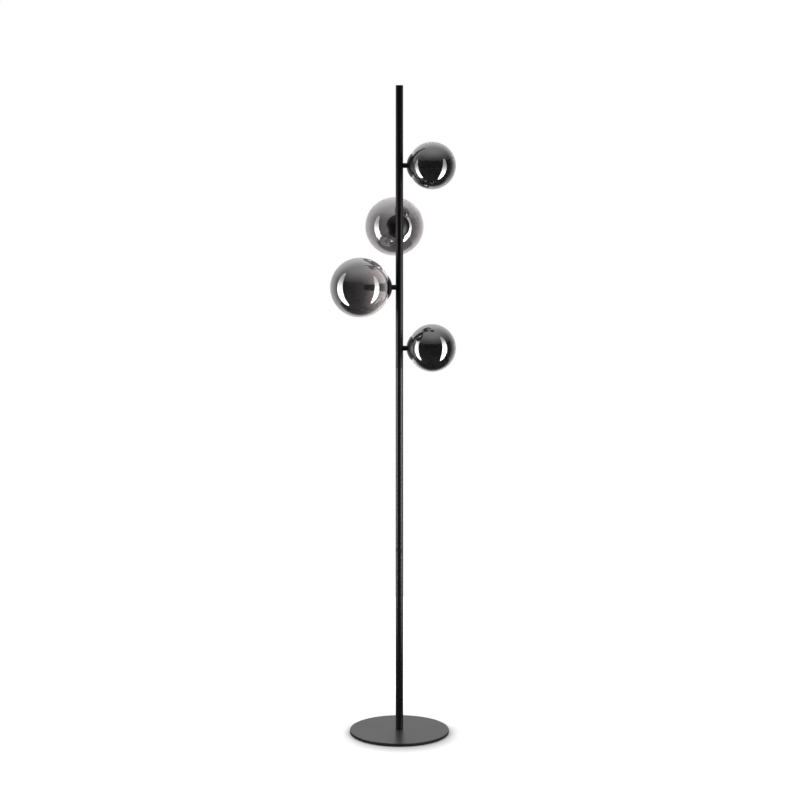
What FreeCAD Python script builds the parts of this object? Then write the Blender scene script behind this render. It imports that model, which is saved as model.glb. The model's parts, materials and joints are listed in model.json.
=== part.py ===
import FreeCAD, Part
import math
import os
from collections import namedtuple

from FreeCAD import Vector

# Floor lamp with four glass globes on short arms. Millimetres, +Z up. The origin is on the
# floor under the pole's axis, +Y is the lamp's back, where the cord enters.

os.makedirs("parts", exist_ok=True)

# ---- Driving dimensions ---------------------------------------------------------------------

lamp_height = 1635.0

# Base
base_diameter = 250.0
base_thickness = 7.0
base_top_round = 0.9
base_bottom_chamfer = 0.5
pad_thickness = 1.0
pad_inset = 4.0
bolt_diameter = 8.0
bolt_head_diameter = 18.0
bolt_head_thickness = 2.6
bolt_key_width = 5.0
bolt_key_depth = 1.6
bolt_engagement = 15.0
washer_diameter = 20.0
washer_thickness = 1.0
base_web_thickness = 2.6

# Pole
pole_diameter = 19.0
pole_wall = 1.2
foot_plug_length = 24.0
lower_joint_height = 461.0
joint_band_height = 8.6
joint_spigot_length = 25.0
joint_bore_diameter = 10.0
top_cap_height = 5.0
top_cap_spigot_length = 12.0

# Arms and lamps
lowest_arm_height = 970.4
joint_below_lowest_arm = 44.4
arm_spacing = 154.0
arm_diameter = 13.0
nipple_diameter = 10.0
nipple_bore_diameter = 6.6
nipple_engagement = 6.0
wire_hole_diameter = 8.4
nut_width = 14.0
nut_thickness = 2.3

# Shade cups
cup_rim_distance = 30.2
cup_rim_diameter = 60.0
cup_dome_radius = 44.0
cup_wall = 1.2
cup_land_radius = 8.5
cup_lip_width = 0.8
cup_seat_depth = 1.6

# Glass globes
small_globe_diameter = 121.0
large_globe_diameter = 151.0
glass_thickness = 3.0
globe_neck_radius = 14.4
glass_lip_round = 1.0
collar_thread_diameter = 22.0
collar_flange_radius = 17.2
collar_flange_thickness = 1.3
collar_reach = 2.4

# Lampholders
holder_taper_start = 5.0
holder_reach = 23.0
holder_end_diameter = 19.0
holder_floor = 3.0
sleeve_diameter = 16.0
sleeve_wall = 1.2
sleeve_length = 36.0
sleeve_seat_depth = 6.0
insert_length = 13.0
insert_recess = 1.0
pocket_width = 10.8
pocket_height = 5.2
pocket_depth = 7.0
pin_spacing = 9.0
slot_width = 1.6
slot_height = 3.0
contact_thickness = 0.6
contact_height = 2.4
contact_tail = 3.0

# Internal wiring and its inlet
inlet_height = 45.0
bush_diameter = 9.0
bush_flange_diameter = 13.0
bush_flange_height = 1.8
bush_inner_reach = 1.5
supply_lead_diameter = 6.0
supply_bend_radius = 6.0
connector_diameter = 13.0
connector_length = 22.0
connector_drop = 8.0
lamp_lead_diameter = 2.6
lamp_lead_lane = 3.2
lamp_lead_bend_radius = 4.0

# Fits and edges
push_gap = 0.05
globe_gap = 0.3
bond_gap = 0.2
edge_break = 0.35

# One entry per lamp from the top down: the turn of its arm about the pole from +X in degrees,
# and the diameter of its globe.
Lamp = namedtuple("Lamp", "turn globe_diameter")
lamps = (
    Lamp(0.0, small_globe_diameter),
    Lamp(90.0, large_globe_diameter),
    Lamp(180.0, large_globe_diameter),
    Lamp(0.0, small_globe_diameter),
)

# Turn about the pole of the lane in which each lamp's lead climbs inside it.
lead_lane_turns = (-90.0, 90.0, 180.0, 0.0)

# ---- Sizes that follow from them ------------------------------------------------------------

base_underside = pad_thickness
pole_foot_height = base_underside + base_thickness
pole_radius = pole_diameter / 2
pole_bore_radius = pole_radius - pole_wall
plug_radius = pole_bore_radius - push_gap
pole_top_height = lamp_height - top_cap_height

cup_rim_radius = cup_rim_diameter / 2
cup_seat_radius = cup_rim_radius - cup_lip_width
cup_dome_centre = cup_rim_distance + math.sqrt(cup_dome_radius ** 2 - cup_rim_radius ** 2)
cup_inner_radius = cup_dome_radius - cup_wall
cup_back = cup_dome_centre - math.sqrt(cup_dome_radius ** 2 - cup_land_radius ** 2)
cup_floor = cup_back + cup_wall

nipple_radius = nipple_diameter / 2
nipple_start = cup_back - nipple_engagement
holder_start = cup_floor + nut_thickness
nipple_end = holder_start + holder_floor
thread_radius = collar_thread_diameter / 2
holder_end = cup_rim_distance + holder_reach
sleeve_radius = sleeve_diameter / 2
sleeve_bore_radius = sleeve_radius - sleeve_wall
sleeve_start = holder_end - sleeve_seat_depth
sleeve_end = holder_end + sleeve_length
insert_front = sleeve_end - insert_recess
insert_back = insert_front - insert_length
pocket_floor = insert_front - pocket_depth

bush_radius = bush_diameter / 2
bush_mouth = pole_radius + bush_flange_height
inlet_level = pole_foot_height + inlet_height
upper_joint_height = lowest_arm_height - joint_below_lowest_arm
upper_spigot_foot = upper_joint_height - joint_band_height / 2 - joint_spigot_length
connector_top = upper_spigot_foot - connector_drop
connector_bottom = connector_top - connector_length

X_AXIS = Vector(1, 0, 0)
Y_AXIS = Vector(0, 1, 0)
Z_AXIS = Vector(0, 0, 1)
ORIGIN = Vector(0, 0, 0)
POINT_TOLERANCE = 1e-6

# ---- Shared shapes --------------------------------------------------------------------------

# A curved step of an outline: an arc through one point to another.
Bend = namedtuple("Bend", "through end")


def outline_face(start, steps):
    """Return the flat face inside a closed outline of lines and arcs."""
    edges = []
    here = start
    for step in steps:
        if isinstance(step, Bend):
            edges.append(Part.Arc(here, step.through, step.end).toShape())
            here = step.end
        else:
            edges.append(Part.LineSegment(here, step).toShape())
            here = step
    if not here.isEqual(start, POINT_TOLERANCE):
        edges.append(Part.LineSegment(here, start).toShape())
    return Part.Face(Part.Wire(edges))


def upright_point(radius, height):
    """Return a point of an outline that is turned about the pole's axis."""
    return Vector(radius, 0, height)


def arm_point(distance, radius):
    """Return a point of an outline that is turned about an arm's axis."""
    return Vector(distance, radius, 0)


def turned_upright(start, *steps):
    """Turn an outline about the pole's axis."""
    return outline_face(start, steps).revolve(ORIGIN, Z_AXIS, 360)


def turned_on_arm(start, *steps):
    """Turn an outline about the axis of an arm that points along +X."""
    return outline_face(start, steps).revolve(ORIGIN, X_AXIS, 360)


def pole_cylinder(radius, low, high):
    """Return a cylinder on the pole's axis."""
    return Part.makeCylinder(radius, high - low, Vector(0, 0, low), Z_AXIS)


def arm_cylinder(radius, near, far):
    """Return a cylinder on the axis of an arm that points along +X."""
    return Part.makeCylinder(radius, far - near, Vector(near, 0, 0), X_AXIS)


def arm_box(near, far, width, height, offset=0.0):
    """Return a box on an arm's axis, moved sideways by an offset."""
    corner = Vector(near, offset - width / 2, -height / 2)
    return Part.makeBox(far - near, width, height, corner)


def sphere_distance(centre, radius, off_axis):
    """Return where the near side of a sphere on an arm's axis lies at a radius off that axis."""
    return centre - math.sqrt(radius ** 2 - off_axis ** 2)


def rounded_path(points, bend_radius):
    """Return a wire of straight runs through the points, joined by tangent arcs."""
    edges = []
    here = points[0]
    for before, corner, after in zip(points, points[1:], points[2:]):
        into = (corner - before).normalize()
        out = (after - corner).normalize()
        turn = into.getAngle(out)
        setback = bend_radius * math.tan(turn / 2)
        bend_start = corner - into * setback
        bend_end = corner + out * setback
        bisector = (out - into).normalize()
        centre = corner + bisector * (bend_radius / math.cos(turn / 2))
        middle = centre - bisector * bend_radius
        edges.append(Part.LineSegment(here, bend_start).toShape())
        edges.append(Part.Arc(bend_start, middle, bend_end).toShape())
        here = bend_end
    edges.append(Part.LineSegment(here, points[-1]).toShape())
    return Part.Wire(edges)


def round_lead(points, diameter, bend_radius):
    """Return a round lead along a path with rounded corners."""
    path = rounded_path(points, bend_radius)
    along = (points[1] - points[0]).normalize()
    section = Part.Wire([Part.Circle(points[0], along, diameter / 2).toShape()])
    return path.makePipeShell([section], True, False)


# ---- Base -----------------------------------------------------------------------------------


def base_plate():
    """Round steel plate with a bored pocket underneath for the bolt's head."""
    radius = base_diameter / 2
    top = pole_foot_height
    round_middle = base_top_round * (1 - math.sqrt(0.5))
    plate = turned_upright(
        upright_point(0, base_underside),
        upright_point(radius - base_bottom_chamfer, base_underside),
        upright_point(radius, base_underside + base_bottom_chamfer),
        upright_point(radius, top - base_top_round),
        Bend(
            upright_point(radius - round_middle, top - round_middle),
            upright_point(radius - base_top_round, top),
        ),
        upright_point(0, top),
    )
    pocket_radius = washer_diameter / 2 + 2 * edge_break
    pocket = pole_cylinder(pocket_radius, base_underside, top - base_web_thickness)
    hole = pole_cylinder(bolt_diameter / 2 + bond_gap, base_underside, top)
    return plate.cut(pocket).cut(hole)


def base_pad():
    """Anti-slip disc under the plate."""
    return pole_cylinder(base_diameter / 2 - pad_inset, 0, pad_thickness)


def washer_underside():
    """Return the height of the washer's lower face."""
    return pole_foot_height - base_web_thickness - washer_thickness


def base_washer():
    """Flat washer between the bolt's head and the plate."""
    low = washer_underside()
    disc = pole_cylinder(washer_diameter / 2, low, low + washer_thickness)
    return disc.cut(pole_cylinder(bolt_diameter / 2 + bond_gap, low, low + washer_thickness))


def hexagon(width, centre, axis, length):
    """Return a hexagonal bar of a width across its flats."""
    side = Vector(0, 1, 0) if axis == X_AXIS else Vector(1, 0, 0)
    corner_radius = width / math.sqrt(3)
    corners = []
    for index in range(7):
        turn = FreeCAD.Rotation(axis, 60.0 * index)
        corners.append(centre + turn.multVec(side) * corner_radius)
    return Part.Face(Part.makePolygon(corners)).extrude(axis * length)


def base_bolt():
    """Low-head bolt with a hexagon socket, up through the plate into the pole's foot."""
    head_top = washer_underside()
    head_low = head_top - bolt_head_thickness
    shank_top = pole_foot_height + bolt_engagement
    head_radius = bolt_head_diameter / 2
    shank_radius = bolt_diameter / 2
    bolt = turned_upright(
        upright_point(0, head_low),
        upright_point(head_radius - edge_break, head_low),
        upright_point(head_radius, head_low + edge_break),
        upright_point(head_radius, head_top),
        upright_point(shank_radius, head_top),
        upright_point(shank_radius, shank_top - edge_break),
        upright_point(shank_radius - edge_break, shank_top),
        upright_point(0, shank_top),
    )
    return bolt.cut(hexagon(bolt_key_width, Vector(0, 0, head_low), Z_AXIS, bolt_key_depth))


# ---- Pole -----------------------------------------------------------------------------------


def foot_plug():
    """Threaded steel plug in the foot of the pole."""
    low = pole_foot_height
    high = low + foot_plug_length
    bore = bolt_diameter / 2 + push_gap
    return turned_upright(
        upright_point(bore, low),
        upright_point(plug_radius, low),
        upright_point(plug_radius, high - edge_break),
        upright_point(plug_radius - edge_break, high),
        upright_point(bore, high),
    )


def pole_tube(low, high):
    """Length of pole with a broken edge at each end."""
    return turned_upright(
        upright_point(pole_bore_radius, low),
        upright_point(pole_radius - edge_break, low),
        upright_point(pole_radius, low + edge_break),
        upright_point(pole_radius, high - edge_break),
        upright_point(pole_radius - edge_break, high),
        upright_point(pole_bore_radius, high),
    )


def pole_lower():
    """Lowest pole section, with the cord's hole in its back."""
    tube = pole_tube(pole_foot_height, lower_joint_height - joint_band_height / 2)
    hole_start = Vector(0, 0, inlet_level)
    return tube.cut(Part.makeCylinder(bush_radius + push_gap, pole_diameter, hole_start, Y_AXIS))


def pole_middle():
    """Middle pole section."""
    low = lower_joint_height + joint_band_height / 2
    return pole_tube(low, upper_joint_height - joint_band_height / 2)


def pole_upper():
    """Upper pole section, with a wire hole behind each arm."""
    tube = pole_tube(upper_joint_height + joint_band_height / 2, pole_top_height)
    for number, lamp in enumerate(lamps):
        hole = arm_cylinder(wire_hole_diameter / 2, 0, pole_diameter)
        tube = tube.cut(on_arm(hole, number, lamp))
    return tube


def pole_joint(height):
    """Screwed joint with a visible band between two spigots, bored for the leads."""
    band_low = height - joint_band_height / 2
    band_high = height + joint_band_height / 2
    bore = joint_bore_diameter / 2
    low = band_low - joint_spigot_length
    high = band_high + joint_spigot_length
    return turned_upright(
        upright_point(bore, low),
        upright_point(plug_radius - edge_break, low),
        upright_point(plug_radius, low + edge_break),
        upright_point(plug_radius, band_low),
        upright_point(pole_radius - edge_break, band_low),
        upright_point(pole_radius, band_low + edge_break),
        upright_point(pole_radius, band_high - edge_break),
        upright_point(pole_radius - edge_break, band_high),
        upright_point(plug_radius, band_high),
        upright_point(plug_radius, high - edge_break),
        upright_point(plug_radius - edge_break, high),
        upright_point(bore, high),
    )


def top_cap():
    """Flat cap that closes the pole, with a spigot inside it."""
    return turned_upright(
        upright_point(0, pole_top_height - top_cap_spigot_length),
        upright_point(plug_radius - edge_break, pole_top_height - top_cap_spigot_length),
        upright_point(plug_radius, pole_top_height - top_cap_spigot_length + edge_break),
        upright_point(plug_radius, pole_top_height),
        upright_point(pole_radius - edge_break, pole_top_height),
        upright_point(pole_radius, pole_top_height + edge_break),
        upright_point(pole_radius, lamp_height - edge_break),
        upright_point(pole_radius - edge_break, lamp_height),
        upright_point(0, lamp_height),
    )


# ---- Cord inlet and internal wiring ---------------------------------------------------------


def cable_bush():
    """Rubber bush with a flange that is hollowed to lie on the round pole."""
    inside = pole_bore_radius - bush_inner_reach
    start = Vector(0, inside, inlet_level)
    body = Part.makeCylinder(bush_radius, bush_mouth - inside, start, Y_AXIS)
    flange = Part.makeCylinder(bush_flange_diameter / 2, bush_mouth - inside, start, Y_AXIS)
    flange = flange.cut(pole_cylinder(pole_radius + push_gap, 0, lower_joint_height))
    bore = Part.makeCylinder(
        supply_lead_diameter / 2 + push_gap, bush_mouth, Vector(0, 0, inlet_level), Y_AXIS
    )
    return body.fuse(flange).cut(bore).removeSplitter()


def supply_lead():
    """Lead from the mouth of the bush up the pole to the connector."""
    points = [
        Vector(0, bush_mouth, inlet_level),
        Vector(0, 0, inlet_level),
        Vector(0, 0, connector_bottom),
    ]
    return round_lead(points, supply_lead_diameter, supply_bend_radius)


def lead_connector():
    """Insulated joint between the supply lead and the leads of the four lamps."""
    radius = connector_diameter / 2
    chamfer = 2 * edge_break
    return turned_upright(
        upright_point(0, connector_bottom),
        upright_point(radius - chamfer, connector_bottom),
        upright_point(radius, connector_bottom + chamfer),
        upright_point(radius, connector_top - chamfer),
        upright_point(radius - chamfer, connector_top),
        upright_point(0, connector_top),
    )


def lamp_lead(number, lamp):
    """Lead from the connector up its lane in the pole and out through its arm."""
    height = arm_height(number)
    lane_turn = lead_lane_turns[number]
    lane = FreeCAD.Rotation(Z_AXIS, lane_turn).multVec(X_AXIS) * lamp_lead_lane
    outward = FreeCAD.Rotation(Z_AXIS, lamp.turn).multVec(X_AXIS)
    level = Vector(0, 0, height)
    points = [lane + Vector(0, 0, connector_top), lane + level]
    if lane_turn != lamp.turn:
        points.append(outward * nipple_end + level)
    points.append(outward * insert_back + level)
    return round_lead(points, lamp_lead_diameter, lamp_lead_bend_radius)


# ---- One lamp: every piece is made on an arm along +X and then put in its place -------------


def arm_height(number):
    """Return the height of an arm's axis; the lamps are numbered from the top down."""
    return lowest_arm_height + arm_spacing * (len(lamps) - 1 - number)


def on_arm(shape, number, lamp):
    """Turn and lift a piece made along +X to its arm."""
    placed = shape.copy()
    placed.rotate(ORIGIN, Z_AXIS, lamp.turn)
    placed.translate(Vector(0, 0, arm_height(number)))
    return placed


def arm():
    """Short threaded tube with a saddle end that fits the pole."""
    bar = arm_cylinder(arm_diameter / 2, 0, cup_back)
    bore = arm_cylinder(nipple_radius + push_gap, 0, cup_back)
    return bar.cut(bore).cut(pole_cylinder(pole_radius + push_gap, -pole_diameter, pole_diameter))


def arm_nipple():
    """Hollow threaded nipple from the arm through the cup into the lampholder."""
    bore = nipple_bore_diameter / 2
    return turned_on_arm(
        arm_point(nipple_start, bore),
        arm_point(nipple_start, nipple_radius - edge_break),
        arm_point(nipple_start + edge_break, nipple_radius),
        arm_point(nipple_end - edge_break, nipple_radius),
        arm_point(nipple_end, nipple_radius - edge_break),
        arm_point(nipple_end, bore),
    )


def cup_nut():
    """Thin hexagon nut that clamps the cup to its arm."""
    bar = hexagon(nut_width, Vector(cup_floor, 0, 0), X_AXIS, nut_thickness)
    return bar.cut(arm_cylinder(nipple_radius + push_gap, cup_floor, holder_start))


def shade_cup():
    """Spun dish with a flat land for the arm and a bevelled seat for the glass."""
    hole = nipple_radius + bond_gap
    seat_bottom = cup_rim_distance - cup_seat_depth
    seat_inner = math.sqrt(cup_inner_radius ** 2 - (cup_dome_centre - seat_bottom) ** 2)
    floor_radius = math.sqrt(cup_inner_radius ** 2 - (cup_dome_centre - cup_floor) ** 2)
    outer_middle = (cup_land_radius + cup_rim_radius) / 2
    inner_middle = (seat_inner + floor_radius) / 2
    return turned_on_arm(
        arm_point(cup_back, hole),
        arm_point(cup_back, cup_land_radius),
        Bend(
            arm_point(
                sphere_distance(cup_dome_centre, cup_dome_radius, outer_middle), outer_middle
            ),
            arm_point(cup_rim_distance, cup_rim_radius),
        ),
        arm_point(cup_rim_distance, cup_seat_radius),
        arm_point(seat_bottom, seat_inner),
        Bend(
            arm_point(
                sphere_distance(cup_dome_centre, cup_inner_radius, inner_middle), inner_middle
            ),
            arm_point(cup_floor, floor_radius),
        ),
        arm_point(cup_floor, hole),
    )


def lampholder_body():
    """Moulded holder: a threaded root for the globe's collar that tapers to the sleeve."""
    root = nipple_radius + push_gap
    end_radius = holder_end_diameter / 2
    taper_start = cup_rim_distance + holder_taper_start
    return turned_on_arm(
        arm_point(holder_start, root),
        arm_point(holder_start, thread_radius - edge_break),
        arm_point(holder_start + edge_break, thread_radius),
        arm_point(taper_start, thread_radius),
        arm_point(holder_end - edge_break, end_radius),
        arm_point(holder_end, end_radius - edge_break),
        arm_point(holder_end, sleeve_radius + push_gap),
        arm_point(sleeve_start, sleeve_radius + push_gap),
        arm_point(sleeve_start, sleeve_bore_radius),
        arm_point(nipple_end, sleeve_bore_radius),
        arm_point(nipple_end, root),
    )


def lampholder_sleeve():
    """Long sleeve round the socket."""
    return turned_on_arm(
        arm_point(sleeve_start, sleeve_bore_radius),
        arm_point(sleeve_start, sleeve_radius),
        arm_point(sleeve_end - edge_break, sleeve_radius),
        arm_point(sleeve_end, sleeve_radius - edge_break),
        arm_point(sleeve_end, sleeve_bore_radius),
    )


def pin_offsets():
    """Return the sideways places of the bulb's two pins."""
    return (-pin_spacing / 2, pin_spacing / 2)


def socket_insert():
    """Insulating insert with a pocket for the bulb's foot and a slot for each pin."""
    insert = arm_cylinder(sleeve_bore_radius - push_gap, insert_back, insert_front)
    insert = insert.cut(arm_box(pocket_floor, insert_front, pocket_width, pocket_height))
    for offset in pin_offsets():
        slot = arm_box(insert_back, pocket_floor, slot_width, slot_height, offset)
        insert = insert.cut(slot)
    return insert


def socket_contacts():
    """The two metal contact strips in the insert's slots."""
    strips = []
    for offset in pin_offsets():
        start = insert_back - contact_tail
        strip = arm_box(start, pocket_floor, contact_thickness, contact_height, offset)
        strips.append(strip)
    return Part.makeCompound(strips)


def globe_centre(lamp):
    """Return how far from the pole's axis a globe seated in its cup has its centre."""
    reach = lamp.globe_diameter / 2 + globe_gap
    return cup_rim_distance + math.sqrt(reach ** 2 - cup_seat_radius ** 2)


def globe(lamp):
    """Blown glass globe with a fire-polished neck hole."""
    centre = globe_centre(lamp)
    outer = lamp.globe_diameter / 2
    inner = outer - glass_thickness
    edge = globe_neck_radius + glass_lip_round
    outer_edge = sphere_distance(centre, outer, edge)
    inner_edge = sphere_distance(centre, inner, edge)
    lip_middle = (outer_edge + inner_edge) / 2
    return turned_on_arm(
        arm_point(outer_edge, edge),
        Bend(arm_point(centre, outer), arm_point(centre + outer, 0)),
        arm_point(centre + inner, 0),
        Bend(arm_point(centre, inner), arm_point(inner_edge, edge)),
        Bend(arm_point(lip_middle, globe_neck_radius), arm_point(outer_edge, edge)),
    )


def globe_collar(lamp):
    """Threaded collar bonded in the globe's neck, with its flange outside the glass."""
    centre = globe_centre(lamp)
    edge = globe_neck_radius + glass_lip_round
    bore = thread_radius + globe_gap
    tube = globe_neck_radius - bond_gap
    flange_face = sphere_distance(centre, lamp.globe_diameter / 2, edge) - bond_gap
    inner_glass = sphere_distance(centre, lamp.globe_diameter / 2 - glass_thickness, edge)
    end = inner_glass + collar_reach
    return turned_on_arm(
        arm_point(flange_face - collar_flange_thickness, bore),
        arm_point(flange_face - collar_flange_thickness, collar_flange_radius - edge_break),
        arm_point(flange_face - collar_flange_thickness + edge_break, collar_flange_radius),
        arm_point(flange_face, collar_flange_radius),
        arm_point(flange_face, tube),
        arm_point(end, tube),
        arm_point(end, bore),
    )


# ---- Write every piece ----------------------------------------------------------------------


def write(name, shape):
    """Write one piece after making sure that it is sound."""
    if not shape.isValid():
        raise ValueError(name + " is not a valid shape")
    if not shape.Solids:
        raise ValueError(name + " holds no solid")
    shape.exportStep(os.path.join("parts", name + ".step"))


def main():
    """Build the lamp from the floor up."""
    write("base_plate", base_plate())
    write("base_pad", base_pad())
    write("base_washer", base_washer())
    write("base_bolt", base_bolt())
    write("foot_plug", foot_plug())
    write("pole_lower", pole_lower())
    write("pole_middle", pole_middle())
    write("pole_upper", pole_upper())
    write("pole_joint_lower", pole_joint(lower_joint_height))
    write("pole_joint_upper", pole_joint(upper_joint_height))
    write("top_cap", top_cap())
    write("cable_bush", cable_bush())
    write("supply_lead", supply_lead())
    write("lead_connector", lead_connector())
    fixed_pieces = {
        "arm": arm(),
        "arm_nipple": arm_nipple(),
        "cup_nut": cup_nut(),
        "shade_cup": shade_cup(),
        "lampholder_body": lampholder_body(),
        "lampholder_sleeve": lampholder_sleeve(),
        "socket_insert": socket_insert(),
        "socket_contacts": socket_contacts(),
    }
    for number, lamp in enumerate(lamps):
        suffix = "_" + str(number + 1)
        for name, shape in fixed_pieces.items():
            write(name + suffix, on_arm(shape, number, lamp))
        write("lamp_lead" + suffix, lamp_lead(number, lamp))
        write("globe_collar" + suffix, on_arm(globe_collar(lamp), number, lamp))
        write("globe" + suffix, on_arm(globe(lamp), number, lamp))


main()
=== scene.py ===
import bpy
import bmesh
import json
import math
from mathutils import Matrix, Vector


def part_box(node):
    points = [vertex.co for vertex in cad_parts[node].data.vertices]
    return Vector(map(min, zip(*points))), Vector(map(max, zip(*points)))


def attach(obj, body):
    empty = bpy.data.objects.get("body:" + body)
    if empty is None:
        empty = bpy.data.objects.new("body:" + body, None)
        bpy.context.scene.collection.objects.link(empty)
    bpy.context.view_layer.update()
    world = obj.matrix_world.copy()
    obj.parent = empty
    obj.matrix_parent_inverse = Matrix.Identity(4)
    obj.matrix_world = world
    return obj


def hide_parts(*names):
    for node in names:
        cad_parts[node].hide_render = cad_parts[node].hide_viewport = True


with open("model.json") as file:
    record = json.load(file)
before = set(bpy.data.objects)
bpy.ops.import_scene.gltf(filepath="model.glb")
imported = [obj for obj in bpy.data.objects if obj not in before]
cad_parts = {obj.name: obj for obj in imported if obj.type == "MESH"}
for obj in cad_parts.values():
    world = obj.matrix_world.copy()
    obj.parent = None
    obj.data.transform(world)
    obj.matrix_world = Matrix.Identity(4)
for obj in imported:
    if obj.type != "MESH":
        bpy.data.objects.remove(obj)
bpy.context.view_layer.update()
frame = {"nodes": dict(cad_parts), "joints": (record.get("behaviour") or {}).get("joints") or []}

# Floor lamp with four smoked glass globes. Metres, in the frame of the CAD model: +Z up, the
# origin on the floor under the pole, the lamp's front towards -Y.

NODES = frame["nodes"]
LAMPS = (1, 2, 3, 4)

# ---- Camera ---------------------------------------------------------------------------------

# The lens and sensor are in millimetres. Size, row and column are pixels of the picture.
CAMERA_TURN = math.radians(-7.3)
CAMERA_DISTANCE = 4.387
CAMERA_HEIGHT = 1.280
CAMERA_LENS = 78.1
SENSOR_WIDTH = 36.0
IMAGE_SIZE = 800.0
HORIZON_ROW = 225.75
POLE_COLUMN = 399.4

# ---- Light ----------------------------------------------------------------------------------

# The side lights fade towards their top, between two shares of their height.
SIDE_LIGHT_DISTANCE = 0.75
SIDE_LIGHT_WIDTH = 0.31
SIDE_LIGHT_LOW = 0.05
SIDE_LIGHT_HIGH = 1.78
SIDE_LIGHT_POWER = 8.0
SIDE_LIGHT_TOP_LEVEL = 0.18
SIDE_LIGHT_FADE = (0.45, 0.85)
LEFT_LIGHT_ANGLE = math.radians(79.0)
RIGHT_LIGHT_ANGLE = math.radians(64.0)

# The room as mirrored in the lamp: levels, and the stretch of a ray's direction, upward (Z) or
# to the back (Y), over which each level comes in. Upward ends at 1, inside the last stretch, so
# the room overhead stays under its full level.
ROOM_DARK = 0.02
ROOM_HORIZON = 0.11
HORIZON_RISE = (0.32, 0.42)
ROOM_OVERHEAD = 0.62
OVERHEAD_RISE = (0.35, 1.2)
ROOM_BEHIND = 0.70
BEHIND_RISE = (0.0, 0.8)
# The front of the room through the glass, and the light that dull surfaces get.
FRONT_THROUGH_GLASS = 0.3
THROUGH_GLASS_RISE = (-0.3, 0.3)
AMBIENT = 0.3

# The floor's glow rises with the distance from the pole. Painted shadow: a soft disc darkens the
# floor's paint and glow under the base, and painted contact shade darkens the glow where a piece
# stands close.
FLOOR_RADIUS = 1.6
FLOOR_SEGMENTS = 96
FLOOR_PAINT = 0.8
FLOOR_MIRRORED = 0.02
FLOOR_BEHIND = (0.5, 1.5)
FLOOR_GLOW = 0.40
FLOOR_GLOW_RISE = (0.125, 0.40)
CONTACT_DISTANCE = 0.05
CONTACT_SAMPLES = 8
CONTACT_DEPTH = 1.6
# The painted shadow's disc: its middle, its darkest level, and the distances over which it fades
# out.
PAINTED_SHADOW_MIDDLE = (0.0, -0.035, 0.0)
PAINTED_SHADOW_LEVEL = 0.6
PAINTED_SHADOW_EDGE = (0.09, 0.165)

# ---- Node helpers ---------------------------------------------------------------------------


def grey(value):
    """Return a grey as a colour."""
    return (value, value, value, 1.0)


class Tree:
    """A short way to write a node tree."""

    def __init__(self, tree):
        self.nodes = tree.nodes
        self.links = tree.links
        self.nodes.clear()

    def add(self, kind, **settings):
        """Add a node. A setting with a socket's name sets or links that socket."""
        node = self.nodes.new(kind)
        for name, value in settings.items():
            if hasattr(node, name):
                setattr(node, name, value)
            else:
                self.put(node.inputs[name.replace("_", " ")], value)
        return node

    def put(self, socket, value):
        """Set a socket, or link it to another node's socket."""
        if isinstance(value, bpy.types.NodeSocket):
            self.links.new(value, socket)
        else:
            socket.default_value = value

    def math(self, operation, first, second=0.0, clamp=False):
        """Add a Math node and return its result."""
        node = self.nodes.new("ShaderNodeMath")
        node.operation = operation
        node.use_clamp = clamp
        self.put(node.inputs[0], first)
        self.put(node.inputs[1], second)
        return node.outputs[0]

    def noise(self, vector, scale, detail=2.0, roughness=0.5):
        """Add a noise texture and return its value."""
        node = self.nodes.new("ShaderNodeTexNoise")
        self.put(node.inputs["Vector"], vector)
        node.inputs["Scale"].default_value = scale
        node.inputs["Detail"].default_value = detail
        node.inputs["Roughness"].default_value = roughness
        return node.outputs["Fac"]

    def ramp(self, value, low, high, from_low=0.0, from_high=1.0, smooth=False):
        """Map a value from one range to another."""
        node = self.nodes.new("ShaderNodeMapRange")
        node.interpolation_type = "SMOOTHSTEP" if smooth else "LINEAR"
        self.put(node.inputs["Value"], value)
        node.inputs["From Min"].default_value = from_low
        node.inputs["From Max"].default_value = from_high
        node.inputs["To Min"].default_value = low
        node.inputs["To Max"].default_value = high
        return node.outputs["Result"]

    def steps(self, value, levels, hue):
        """Map a value to a colour of one hue through a list of positions and levels."""
        node = self.nodes.new("ShaderNodeValToRGB")
        self.put(node.inputs["Fac"], value)
        ramp = node.color_ramp
        ramp.interpolation = "B_SPLINE"
        while len(ramp.elements) < len(levels):
            ramp.elements.new(1.0)
        for element, (position, level) in zip(ramp.elements, levels):
            element.position = position
            element.color = tuple(level * part for part in hue) + (1.0,)
        return node.outputs["Color"]

    def mix(self, factor, first, second):
        """Mix two colours."""
        node = self.nodes.new("ShaderNodeMix")
        node.data_type = "RGBA"
        self.put(node.inputs["Factor"], factor)
        self.put(node.inputs["A"], first)
        self.put(node.inputs["B"], second)
        return node.outputs["Result"]

    def tones(self, factor, level, spread):
        """Mix two greys, a share darker and lighter than a level."""
        return self.mix(factor, grey(level * (1 - spread)), grey(level * (1 + spread)))


def new_material(name):
    """Return a new material and its tree."""
    material = bpy.data.materials.new(name)
    material.use_nodes = True
    return material, Tree(material.node_tree)


def finish_material(tree, shader):
    """Add the material's output."""
    output = tree.nodes.new("ShaderNodeOutputMaterial")
    tree.links.new(shader.outputs[0], output.inputs["Surface"])


# ---- Materials ------------------------------------------------------------------------------

# A spread is how far a tone, as a share, or a roughness goes to either side.
COATING_TONE_SPREAD = 0.15
COATING_CLOUD_GLOSS = 0.04
COATING_GRAIN_GLOSS = 0.03
PLASTIC_TONE_SPREAD = 0.2
PLASTIC_GLOSS_SPREAD = 0.06
PLASTIC_GRAIN_DEPTH = 0.00004
METAL_DARK_SHARE = 0.8
METAL_GLOSS_SPREAD = 0.08
FELT_TONES = (0.015, 0.06)
FELT_FIBRE_DEPTH = 0.0003

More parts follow.
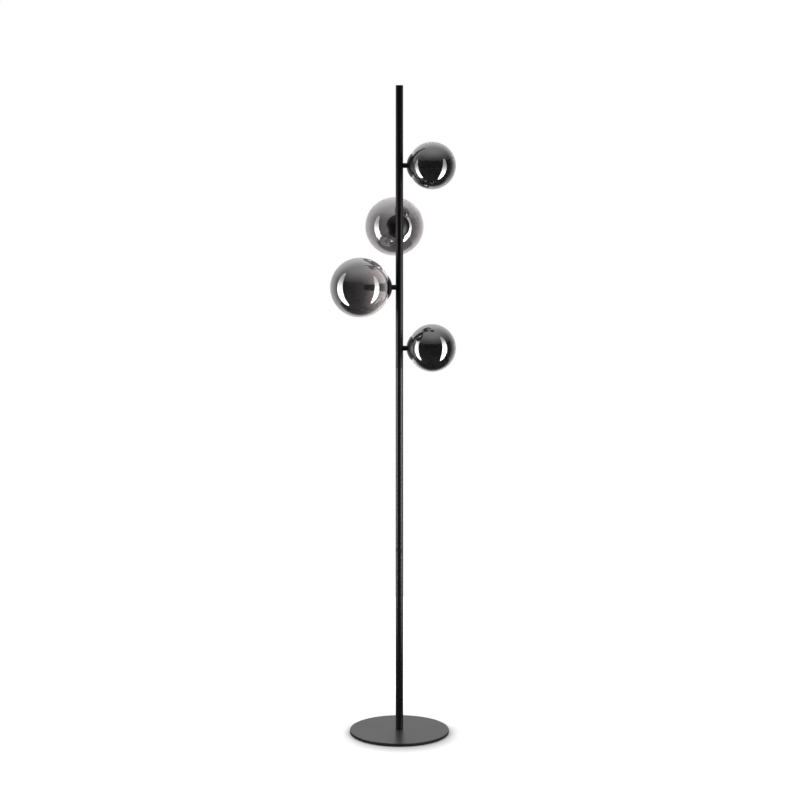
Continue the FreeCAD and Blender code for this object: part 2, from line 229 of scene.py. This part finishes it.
def coated_metal(name, level, roughness, specular, grain_scale, grain_depth):
    """Powder-coated steel: a fine orange peel, a slightly cloudy tone and uneven gloss."""
    material, tree = new_material(name)
    place = tree.nodes.new("ShaderNodeTexCoord").outputs["Object"]
    cloud = tree.noise(place, scale=9.0, detail=4.0)
    grain = tree.noise(place, scale=grain_scale, detail=2.0)
    colour = tree.tones(cloud, level, COATING_TONE_SPREAD)
    cloud_gloss = tree.ramp(cloud, -COATING_CLOUD_GLOSS, COATING_CLOUD_GLOSS)
    grain_gloss = tree.ramp(grain, -COATING_GRAIN_GLOSS, COATING_GRAIN_GLOSS)
    gloss = tree.math("ADD", cloud_gloss, grain_gloss)
    bump = tree.add("ShaderNodeBump", Strength=0.25, Distance=grain_depth, Height=grain)
    shader = tree.add("ShaderNodeBsdfPrincipled")
    tree.put(shader.inputs["Base Color"], colour)
    shader.inputs["Specular IOR Level"].default_value = specular
    tree.put(shader.inputs["Roughness"], tree.math("ADD", gloss, roughness))
    tree.put(shader.inputs["Normal"], bump.outputs["Normal"])
    finish_material(tree, shader)
    return material


def moulded_plastic(name, level, roughness):
    """Black or pale moulding with a fine spark-eroded texture."""
    material, tree = new_material(name)
    place = tree.nodes.new("ShaderNodeTexCoord").outputs["Object"]
    grain = tree.noise(place, scale=2600.0, detail=2.0)
    cloud = tree.noise(place, scale=40.0, detail=3.0)
    bump = tree.add("ShaderNodeBump", Strength=0.3, Distance=PLASTIC_GRAIN_DEPTH, Height=grain)
    gloss = tree.ramp(grain, roughness - PLASTIC_GLOSS_SPREAD, roughness + PLASTIC_GLOSS_SPREAD)
    shader = tree.add("ShaderNodeBsdfPrincipled")
    tree.put(shader.inputs["Base Color"], tree.tones(cloud, level, PLASTIC_TONE_SPREAD))
    tree.put(shader.inputs["Roughness"], gloss)
    tree.put(shader.inputs["Normal"], bump.outputs["Normal"])
    finish_material(tree, shader)
    return material


def bare_metal(name, colour, roughness):
    """Plated or bare metal with a fine grain in its tone and gloss."""
    material, tree = new_material(name)
    place = tree.nodes.new("ShaderNodeTexCoord").outputs["Object"]
    grain = tree.noise(place, scale=900.0, detail=3.0)
    gloss = tree.ramp(grain, roughness - METAL_GLOSS_SPREAD, roughness + METAL_GLOSS_SPREAD)
    dark = tuple(part * METAL_DARK_SHARE for part in colour) + (1.0,)
    shader = tree.add("ShaderNodeBsdfPrincipled")
    tree.put(shader.inputs["Base Color"], tree.mix(grain, dark, colour + (1.0,)))
    shader.inputs["Metallic"].default_value = 1.0
    tree.put(shader.inputs["Roughness"], gloss)
    finish_material(tree, shader)
    return material


def felt(name):
    """Pressed black felt."""
    material, tree = new_material(name)
    place = tree.nodes.new("ShaderNodeTexCoord").outputs["Object"]
    fibre = tree.noise(place, scale=1500.0, detail=5.0, roughness=0.8)
    bump = tree.add("ShaderNodeBump", Strength=0.8, Distance=FELT_FIBRE_DEPTH, Height=fibre)
    dark, pale = FELT_TONES
    shader = tree.add("ShaderNodeBsdfPrincipled")
    tree.put(shader.inputs["Base Color"], tree.mix(fibre, grey(dark), grey(pale)))
    shader.inputs["Roughness"].default_value = 0.95
    shader.inputs["Sheen Weight"].default_value = 0.3
    tree.put(shader.inputs["Normal"], bump.outputs["Normal"])
    finish_material(tree, shader)
    return material


# Tint of the glass, as shares of the way from the neck to the far end and grey levels.
LARGE_GLOBE_TINT = ((0.0, 0.95), (0.17, 0.90), (0.36, 0.38), (0.55, 0.15), (1.0, 0.09))
SMALL_GLOBE_TINT = ((0.0, 0.50), (0.10, 0.24), (0.25, 0.09), (0.50, 0.07), (1.0, 0.08))
GLASS_HUE = (1.05, 0.985, 0.995)
GLASS_IOR = 1.5
GLASS_ROUGHNESS = 0.02
GLASS_COAT_IOR = 2.8
GLASS_COAT_ROUGHNESS = 0.01
GLASS_RIPPLE_DEPTH = 0.0004
TINT_SHIFT = 0.03


def smoked_glass(name, neck, far, outward, tint):
    """Smoked glass, lighter at its neck, under a thin mirror coating."""
    material, tree = new_material(name)
    place = tree.nodes.new("ShaderNodeTexCoord").outputs["Object"]
    along = tree.nodes.new("ShaderNodeVectorMath")
    along.operation = "DOT_PRODUCT"
    tree.put(along.inputs[0], place)
    along.inputs[1].default_value = outward
    flow = tree.noise(place, scale=14.0, detail=2.0)
    depth = tree.ramp(along.outputs["Value"], 0.0, 1.0, neck, far)
    shift = tree.ramp(flow, -TINT_SHIFT, TINT_SHIFT)
    depth = tree.math("ADD", depth, shift, clamp=True)
    ripple = tree.noise(place, scale=22.0, detail=1.0)
    bump = tree.add("ShaderNodeBump", Strength=0.15, Distance=GLASS_RIPPLE_DEPTH, Height=ripple)
    shader = tree.add("ShaderNodeBsdfPrincipled")
    tree.put(shader.inputs["Base Color"], tree.steps(depth, tint, GLASS_HUE))
    shader.inputs["Transmission Weight"].default_value = 1.0
    shader.inputs["IOR"].default_value = GLASS_IOR
    tree.put(shader.inputs["Roughness"], tree.ramp(flow, 0.0, GLASS_ROUGHNESS))
    shader.inputs["Coat Weight"].default_value = 1.0
    shader.inputs["Coat IOR"].default_value = GLASS_COAT_IOR
    shader.inputs["Coat Roughness"].default_value = GLASS_COAT_ROUGHNESS
    tree.put(shader.inputs["Normal"], bump.outputs["Normal"])
    finish_material(tree, shader)
    return material


def give(node_names, material):
    """Put a material on CAD nodes."""
    for name in node_names:
        mesh = NODES[name].data
        mesh.materials.clear()
        mesh.materials.append(material)


def each_lamp(*names):
    """Return the nodes of those names on every lamp."""
    return [name + "_" + str(lamp) for name in names for lamp in LAMPS]


def dress_coated_nodes():
    """Powder-coat the pole, arms, base and cups."""
    # The lower and middle pole get a copy of the black coating that reflects more, a painted
    # highlight on their streaks. The upper pole, top cap and arms get a darker, duller copy,
    # which is painted shade towards the top.
    pole = coated_metal("pole_coating", level=0.006, roughness=0.28, specular=0.65,
                        grain_scale=1400.0, grain_depth=0.00004)
    upper = coated_metal("upper_pole_shaded_coating", level=0.005, roughness=0.30, specular=0.42,
                         grain_scale=1400.0, grain_depth=0.00004)
    joint = coated_metal("joint_coating", level=0.005, roughness=0.42, specular=0.45,
                         grain_scale=1400.0, grain_depth=0.00004)
    # The base gets a copy of the black coating five times lighter than the rest: painted light
    # on its top and side.
    base = coated_metal("base_lit_coating", level=0.030, roughness=0.34, specular=0.5,
                        grain_scale=900.0, grain_depth=0.00008)
    cup = coated_metal("cup_coating", level=0.006, roughness=0.32, specular=0.55,
                       grain_scale=1600.0, grain_depth=0.00005)
    give(["pole_lower", "pole_middle"], pole)
    give(["pole_upper", "top_cap"] + each_lamp("arm"), upper)
    give(["pole_joint_lower", "pole_joint_upper"], joint)
    give(["base_plate"], base)
    give(each_lamp("shade_cup"), cup)


def dress_moulded_nodes():
    """Give the holders, leads, bush and pad their finishes."""
    holder = moulded_plastic("holder_moulding", level=0.010, roughness=0.45)
    insert = moulded_plastic("insert_moulding", level=0.05, roughness=0.6)
    rubber = moulded_plastic("bush_rubber", level=0.02, roughness=0.65)
    sheath = moulded_plastic("lead_sheath", level=0.015, roughness=0.5)
    connector = moulded_plastic("connector_moulding", level=0.7, roughness=0.4)
    give(each_lamp("lampholder_body", "lampholder_sleeve", "globe_collar"), holder)
    give(each_lamp("socket_insert"), insert)
    give(["cable_bush"], rubber)
    give(["supply_lead"] + each_lamp("lamp_lead"), sheath)
    give(["lead_connector"], connector)
    give(["base_pad"], felt("pad_felt"))


def dress_metal_nodes():
    """Give the fastenings and contacts their finishes."""
    steel = bare_metal("plated_steel", (0.62, 0.62, 0.63), roughness=0.32)
    brass = bare_metal("contact_strip", (0.75, 0.6, 0.32), roughness=0.3)
    give(["base_bolt", "base_washer", "foot_plug"] + each_lamp("arm_nipple", "cup_nut"), steel)
    give(each_lamp("socket_contacts"), brass)


# ---- Glass globes ---------------------------------------------------------------------------

GLASS_WALL = 0.003
# A globe of a larger radius than this is one of the two large ones.
LARGE_GLOBE_RADIUS = 0.07
LIP_STEPS = 8
LIP_BULGE = 0.001
RING_STEPS = 128
MERIDIAN_STEPS = 72


def arm_direction(lamp):
    """Return the direction of a lamp's arm from its joint."""
    for joint in frame["joints"]:
        if joint["child"] == "glass_globe_" + str(lamp):
            return Vector(joint["axis"]).normalized()
    raise ValueError("no joint for lamp " + str(lamp))


def globe_measures(lamp):
    """Return a globe's centre, radius, neck radius and outward direction from its CAD node."""
    node = NODES["globe_" + str(lamp)]
    outward = arm_direction(lamp)
    low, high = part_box("globe_" + str(lamp))
    radius = (high.z - low.z) / 2
    middle = (low + high) / 2
    reach = max(vertex.co.dot(outward) for vertex in node.data.vertices)
    centre = middle + outward * (reach - radius - middle.dot(outward))
    near = min(vertex.co.dot(outward) for vertex in node.data.vertices)
    offset = centre.dot(outward) - near
    edge = math.sqrt(radius ** 2 - offset ** 2)
    return centre, radius, edge, outward


def globe_skin(radius, edge):
    """Return one skin's outline, from the neck's edge to the far end on the axis."""
    start = math.asin(edge / radius)
    points = []
    for step in range(MERIDIAN_STEPS):
        angle = start + (math.pi - start) * step / MERIDIAN_STEPS
        points.append((-radius * math.cos(angle), radius * math.sin(angle)))
    points.append((radius, 0.0))
    return points


def globe_lip(outer_along, inner_along, edge):
    """Return the rounded lip's outline, from the outer skin to the inner one."""
    points = []
    for step in range(1, LIP_STEPS):
        share = step / LIP_STEPS
        along = outer_along + (inner_along - outer_along) * share
        points.append((along, edge - LIP_BULGE * math.sin(math.pi * share)))
    return points


def globe_outline(radius, edge):
    """Return the glass's outline, outer skin, lip and inner skin, as distances along the arm
    from the globe's centre and from the arm's axis."""
    outer = globe_skin(radius, edge)
    inner = globe_skin(radius - GLASS_WALL, edge)
    return outer[::-1] + globe_lip(outer[0][0], inner[0][0], edge) + inner


def ring(mesh, centre, outward, along, off_axis):
    """Add a ring of points round the arm's axis, or one point on it."""
    if off_axis == 0.0:
        return [mesh.verts.new(centre + outward * along)]
    side = outward.cross(Vector((0, 0, 1))).normalized()
    up = side.cross(outward)
    made = []
    for step in range(RING_STEPS):
        angle = 2 * math.pi * step / RING_STEPS
        spoke = side * math.cos(angle) + up * math.sin(angle)
        made.append(mesh.verts.new(centre + outward * along + spoke * off_axis))
    return made


def join_rings(mesh, first, second):
    """Fill the band between two rings; one of them may be a single point."""
    for step in range(RING_STEPS):
        after = (step + 1) % RING_STEPS
        if len(second) == 1:
            mesh.faces.new((first[step], first[after], second[0]))
        elif len(first) == 1:
            mesh.faces.new((first[0], second[after], second[step]))
        else:
            mesh.faces.new((first[step], first[after], second[after], second[step]))


def globe_mesh(lamp, centre, outward, outline):
    """Turn an outline round the arm's axis into one closed, smooth mesh."""
    mesh = bmesh.new()
    rings = [ring(mesh, centre, outward, along, off_axis) for along, off_axis in outline]
    for first, second in zip(rings, rings[1:]):
        join_rings(mesh, first, second)
    bmesh.ops.recalc_face_normals(mesh, faces=mesh.faces)
    data = bpy.data.meshes.new("glass_globe_" + str(lamp))
    mesh.to_mesh(data)
    mesh.free()
    for face in data.polygons:
        face.use_smooth = True
    return data


def glass_globe(lamp):
    """Blow one globe in place of its CAD node and give it its glass."""
    centre, radius, edge, outward = globe_measures(lamp)
    data = globe_mesh(lamp, centre, outward, globe_outline(radius, edge))
    shell = bpy.data.objects.new("glass_shell_" + str(lamp), data)
    bpy.context.scene.collection.objects.link(shell)
    neck = centre.dot(outward) - radius
    far = centre.dot(outward) + radius
    tint = LARGE_GLOBE_TINT if radius > LARGE_GLOBE_RADIUS else SMALL_GLOBE_TINT
    data.materials.append(smoked_glass("smoked_glass_" + str(lamp), neck, far, outward, tint))
    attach(shell, "glass_globe_" + str(lamp))
    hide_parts("globe_" + str(lamp))


# ---- Stage ----------------------------------------------------------------------------------


def distance_from(tree, place, middle):
    """Return a place's distance from a middle."""
    node = tree.nodes.new("ShaderNodeVectorMath")
    node.operation = "DISTANCE"
    tree.put(node.inputs[0], place)
    node.inputs[1].default_value = middle
    return node.outputs["Value"]


def floor_seen(tree, path, place):
    """White to the camera. Mirrored and seen through glass it is white only behind the lamp."""
    parts = tree.nodes.new("ShaderNodeSeparateXYZ")
    tree.put(parts.inputs[0], place)
    behind = tree.ramp(parts.outputs["Y"], FLOOR_MIRRORED, 1.0, *FLOOR_BEHIND, smooth=True)
    mirrored = tree.math("MULTIPLY", path.outputs["Is Glossy Ray"], behind)
    refracted = tree.math("MAXIMUM", behind, FRONT_THROUGH_GLASS)
    through = tree.math("MULTIPLY", path.outputs["Is Transmission Ray"], refracted)
    straight = tree.math("MAXIMUM", path.outputs["Is Camera Ray"], through)
    return tree.math("MAXIMUM", straight, mirrored)


def floor_paint():
    """White paint with a painted soft round shadow under the base and painted contact shade,
    darkest where something stands.
    """
    material, tree = new_material("floor_paint")
    path = tree.nodes.new("ShaderNodeLightPath")
    place = tree.nodes.new("ShaderNodeTexCoord").outputs["Object"]
    # Painted shadow and painted contact shade: the soft disc and the ambient occlusion darken
    # the glow, and the disc darkens the paint too.
    from_shadow = distance_from(tree, place, PAINTED_SHADOW_MIDDLE)
    from_pole = distance_from(tree, place, (0.0, 0.0, 0.0))
    soft = tree.ramp(from_shadow, PAINTED_SHADOW_LEVEL, 1.0, *PAINTED_SHADOW_EDGE, smooth=True)
    contact = tree.add("ShaderNodeAmbientOcclusion", Distance=CONTACT_DISTANCE,
                       samples=CONTACT_SAMPLES)
    close = tree.math("POWER", contact.outputs["AO"], CONTACT_DEPTH)
    shade = tree.math("MULTIPLY", close, soft)
    glow = tree.ramp(from_pole, FLOOR_GLOW, 1.0, *FLOOR_GLOW_RISE)
    seen = floor_seen(tree, path, place)
    strength = tree.math("MULTIPLY", tree.math("MULTIPLY", glow, seen), shade)
    not_mirrored = tree.math("SUBTRACT", 1.0, path.outputs["Is Glossy Ray"])
    white = tree.math("MULTIPLY", not_mirrored, soft)
    paint = tree.add("ShaderNodeBsdfDiffuse")
    tree.put(paint.inputs["Color"], tree.mix(white, grey(FLOOR_MIRRORED), grey(FLOOR_PAINT)))
    light = tree.add("ShaderNodeEmission", Color=grey(1.0))
    tree.put(light.inputs["Strength"], strength)
    both = tree.nodes.new("ShaderNodeAddShader")
    tree.links.new(paint.outputs[0], both.inputs[0])
    tree.links.new(light.outputs[0], both.inputs[1])
    finish_material(tree, both)
    return material


def add_floor():
    """Round floor under the lamp, which keeps its shadow, with a painted shadow and painted
    contact shade under the base.
    """
    mesh = bmesh.new()
    bmesh.ops.create_circle(mesh, cap_ends=True, segments=FLOOR_SEGMENTS, radius=FLOOR_RADIUS)
    data = bpy.data.meshes.new("floor")
    mesh.to_mesh(data)
    mesh.free()
    floor = bpy.data.objects.new("floor", data)
    bpy.context.scene.collection.objects.link(floor)
    data.materials.append(floor_paint())


def add_side_light(name, angle):
    """Tall soft box beside the lamp, weaker towards its top, turned from the camera's side."""
    light = bpy.data.lights.new(name, "AREA")
    light.shape = "ELLIPSE"
    light.size = SIDE_LIGHT_WIDTH
    light.size_y = SIDE_LIGHT_HIGH - SIDE_LIGHT_LOW
    light.energy = SIDE_LIGHT_POWER
    light.use_nodes = True
    tree = Tree(light.node_tree)
    parts = tree.nodes.new("ShaderNodeSeparateXYZ")
    tree.put(parts.inputs[0], tree.nodes.new("ShaderNodeNewGeometry").outputs["Parametric"])
    glow = tree.nodes.new("ShaderNodeEmission")
    height = parts.outputs["Y"]
    fade = tree.ramp(height, 1.0, SIDE_LIGHT_TOP_LEVEL, *SIDE_LIGHT_FADE, smooth=True)
    tree.put(glow.inputs["Strength"], fade)
    output = tree.nodes.new("ShaderNodeOutputLight")
    tree.links.new(glow.outputs[0], output.inputs["Surface"])
    lamp = bpy.data.objects.new(name, light)
    bpy.context.scene.collection.objects.link(lamp)
    turn = CAMERA_TURN + angle
    away = Vector((math.sin(turn), -math.cos(turn), 0.0))
    middle = (SIDE_LIGHT_LOW + SIDE_LIGHT_HIGH) / 2
    lamp.location = away * SIDE_LIGHT_DISTANCE + Vector((0, 0, middle))
    lamp.rotation_euler = (-away).to_track_quat("-Z", "Y").to_euler()
    lamp.visible_camera = False
    lamp.visible_transmission = False


def add_world():
    """White to the camera. The lamp mirrors a room dark in front, lighter behind and above."""
    world = bpy.data.worlds.new("studio")
    bpy.context.scene.world = world
    world.use_nodes = True
    tree = Tree(world.node_tree)
    parts = tree.nodes.new("ShaderNodeSeparateXYZ")
    tree.put(parts.inputs[0], tree.nodes.new("ShaderNodeTexCoord").outputs["Generated"])
    height = parts.outputs["Z"]
    depth = parts.outputs["Y"]
    horizon = tree.ramp(height, ROOM_DARK, ROOM_HORIZON, *HORIZON_RISE, smooth=True)
    dome = tree.ramp(height, 0.0, ROOM_OVERHEAD, *OVERHEAD_RISE, smooth=True)
    overhead = tree.math("ADD", horizon, dome)
    behind = tree.ramp(depth, 0.0, ROOM_BEHIND, *BEHIND_RISE, smooth=True)
    path = tree.nodes.new("ShaderNodeLightPath")
    is_glossy = path.outputs["Is Glossy Ray"]
    mirrored = tree.math("MULTIPLY", is_glossy, tree.math("ADD", overhead, behind))
    refracted = tree.ramp(depth, FRONT_THROUGH_GLASS, 1.0, *THROUGH_GLASS_RISE, smooth=True)
    through = tree.math("MULTIPLY", path.outputs["Is Transmission Ray"], refracted)
    straight = tree.math("MAXIMUM", path.outputs["Is Camera Ray"], through)
    ambient = tree.math("MULTIPLY", tree.math("SUBTRACT", 1.0, is_glossy), AMBIENT)
    strength = tree.math("MAXIMUM", tree.math("MAXIMUM", straight, mirrored), ambient)
    background = tree.add("ShaderNodeBackground", Color=grey(1.0))
    tree.put(background.inputs["Strength"], strength)
    output = tree.nodes.new("ShaderNodeOutputWorld")
    tree.links.new(background.outputs[0], output.inputs["Surface"])


def add_camera():
    """Level camera at the height of the second globe, shifted to frame the whole lamp."""
    data = bpy.data.cameras.new("camera")
    data.lens = CAMERA_LENS
    data.sensor_width = SENSOR_WIDTH
    data.shift_y = (HORIZON_ROW - IMAGE_SIZE / 2) / IMAGE_SIZE
    data.shift_x = (IMAGE_SIZE / 2 - POLE_COLUMN) / IMAGE_SIZE
    camera = bpy.data.objects.new("camera", data)
    bpy.context.scene.collection.objects.link(camera)
    away = Vector((math.sin(CAMERA_TURN), -math.cos(CAMERA_TURN), 0.0))
    camera.location = away * CAMERA_DISTANCE + Vector((0, 0, CAMERA_HEIGHT))
    camera.rotation_euler = (-away).to_track_quat("-Z", "Y").to_euler()
    bpy.context.scene.camera = camera


add_camera()
add_world()
add_floor()
add_side_light("left_light", -LEFT_LIGHT_ANGLE)
add_side_light("right_light", RIGHT_LIGHT_ANGLE)
dress_coated_nodes()
dress_moulded_nodes()
dress_metal_nodes()
for number in LAMPS:
    glass_globe(number)
bpy.context.scene.view_settings.view_transform = "Standard"
